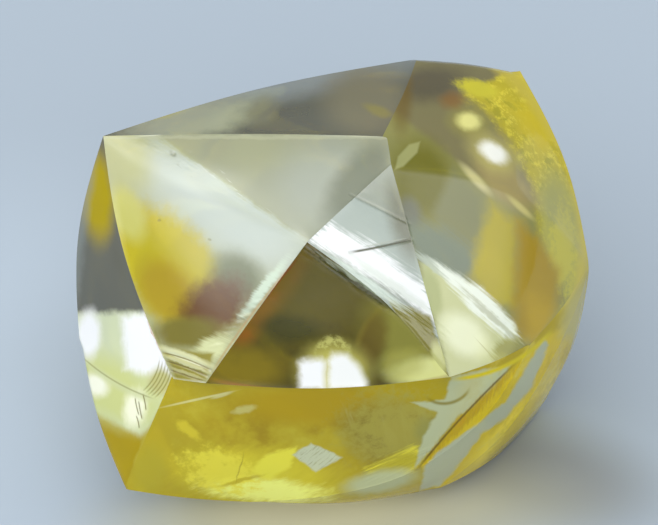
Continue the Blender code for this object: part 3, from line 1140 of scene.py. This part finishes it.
def light_the_room(world, settings):
    """Fill the room with a dim even light, and add each soft light in its direction."""
    room = Finish(world, "ShaderNodeOutputWorld")
    way = room.node("TexCoord").outputs["Generated"]
    total = ROOM_BRIGHTNESS
    for name, (azimuth, height, (wide, high), soft, strength) in LIGHTS.items():
        turn, lift = math.radians(azimuth), math.radians(height)
        back = Vector((math.sin(turn) * math.cos(lift), -math.cos(turn) * math.cos(lift), math.sin(lift)))
        local = room.mapped(
            way,
            label=name,
            Rotation=back.to_track_quat("Z", "Y").to_euler(),
            Scale=(math.sin(math.radians(wide)), math.sin(math.radians(high)), 1e4),
        )
        off = room.measure("LENGTH", local)
        total = room.ramp(off, 1 + soft / 2, 1 - soft / 2, strength) + total
    lit = room.node("Background", None, (*settings.light_color, 1.0), total)
    seen = room.node("Background", None, (*settings.room_color, 1.0))
    direct = room.node("LightPath").outputs["Is Camera Ray"]
    mix = room.node("MixShader", None, direct, lit.outputs[0], seen.outputs[0])
    room.feed(room.output.inputs["Surface"], mix.outputs[0])


class FloorFinish(PaintedFinish):
    """The pale floor, with the crystal's soft shade and the warm light that it lets through, painted on."""

    def __init__(self, color):
        super().__init__("floor", (*color, 1.0), 0.0, 0.0)
        patch, spot, *_ = self.brushes()
        # A painted shade over the crystal's real soft shadow, a painted pool of light on the left, and warm
        # light through the crystal, painted into the colour and given off as a faint glow.
        spot("soft shade", (0.235, 0.245, 0.245), (215, -90), (105, 62), -20, 1.3, 0.75)
        spot("pale left", tuple(Vector(color) * 1.22), (-310, 70), (130, 220), 0, 1.5)
        patch("warm light", (0.56, 0.55, 0.41), self.spot((0, -155), (190, 75), 4, 1.3) * 0.9)
        spill = self.spot((-30, -142), (130, 36), 4, 1.4)
        self.glow = self.mixed("warm glow", spill, (0.0, 0.0, 0.0, 1.0), (0.20, 0.19, 0.115, 1.0))


class DIAMOND_OT_stage(bpy.types.Operator):
    """Add the pale floor, the soft light and the camera"""

    bl_idname = "diamond.stage"
    bl_label = "Stage"

    def execute(self, context):
        settings = context.scene.diamond_stage
        scene = context.scene
        mesh = bmesh.new()
        bmesh.ops.create_circle(mesh, cap_ends=True, segments=FLOOR_EDGES, radius=FLOOR_RADIUS)
        mesh.transform(Matrix.Translation((0, 0, -FLOOR_GAP)))
        data = bpy.data.meshes.new("floor")
        mesh.to_mesh(data)
        mesh.free()
        floor = bpy.data.objects.new("floor", data)
        scene.collection.objects.link(floor)
        finish = FloorFinish(settings.floor_color)
        shader = finish.node("BsdfPrincipled", None, Base_Color=finish.color, Roughness=0.6)
        finish.feed(shader.inputs["Emission Color"], finish.glow)
        shader.inputs["Emission Strength"].default_value = 1.0
        finish.feed(finish.output.inputs["Surface"], shader.outputs[0])
        data.materials.append(finish.owner)

        scene.world = bpy.data.worlds.new("studio")
        light_the_room(scene.world, settings)

        camera = bpy.data.objects.new("camera", bpy.data.cameras.new("camera"))
        scene.collection.objects.link(camera)
        scene.camera = camera
        camera.matrix_world = lying() @ Matrix.Translation((*VIEW_MIDDLE, settings.view_distance))
        camera.data.sensor_width = SENSOR_WIDTH
        camera.data.lens = SENSOR_WIDTH * settings.view_distance / VIEW_WIDTH
        camera.data.clip_start = 0.001
        camera.data.clip_end = 10
        scene.view_settings.view_transform = "Standard"
        for name, count in LIGHT_BOUNCES.items():
            setattr(scene.cycles, name, count)
        scene.cycles.use_denoising = True
        return {"FINISHED"}


class DIAMOND_PT_panel(bpy.types.Panel):
    """The crystal's and the stage's settings, and the buttons that build them."""

    bl_idname = "DIAMOND_PT_panel"
    bl_label = "Diamond"
    bl_space_type = "VIEW_3D"
    bl_region_type = "UI"
    bl_category = "Diamond"

    def draw(self, context):
        layout = self.layout
        for group in (context.scene.diamond, context.scene.diamond_stage):
            for name in group.__annotations__:
                layout.prop(group, name)
        for operator in OPERATORS:
            layout.operator(operator.bl_idname)


OPERATORS = (DIAMOND_OT_crystal, DIAMOND_OT_stage)
CLASSES = (DiamondSettings, StageSettings, *OPERATORS, DIAMOND_PT_panel)


def register():
    for cls in CLASSES:
        bpy.utils.register_class(cls)
    bpy.types.Scene.diamond = PointerProperty(type=DiamondSettings)
    bpy.types.Scene.diamond_stage = PointerProperty(type=StageSettings)


def unregister():
    del bpy.types.Scene.diamond_stage
    del bpy.types.Scene.diamond
    for cls in reversed(CLASSES):
        bpy.utils.unregister_class(cls)


def main():
    register()
    bpy.ops.diamond.crystal()
    bpy.ops.diamond.stage()


if __name__ == "__main__":
    main()
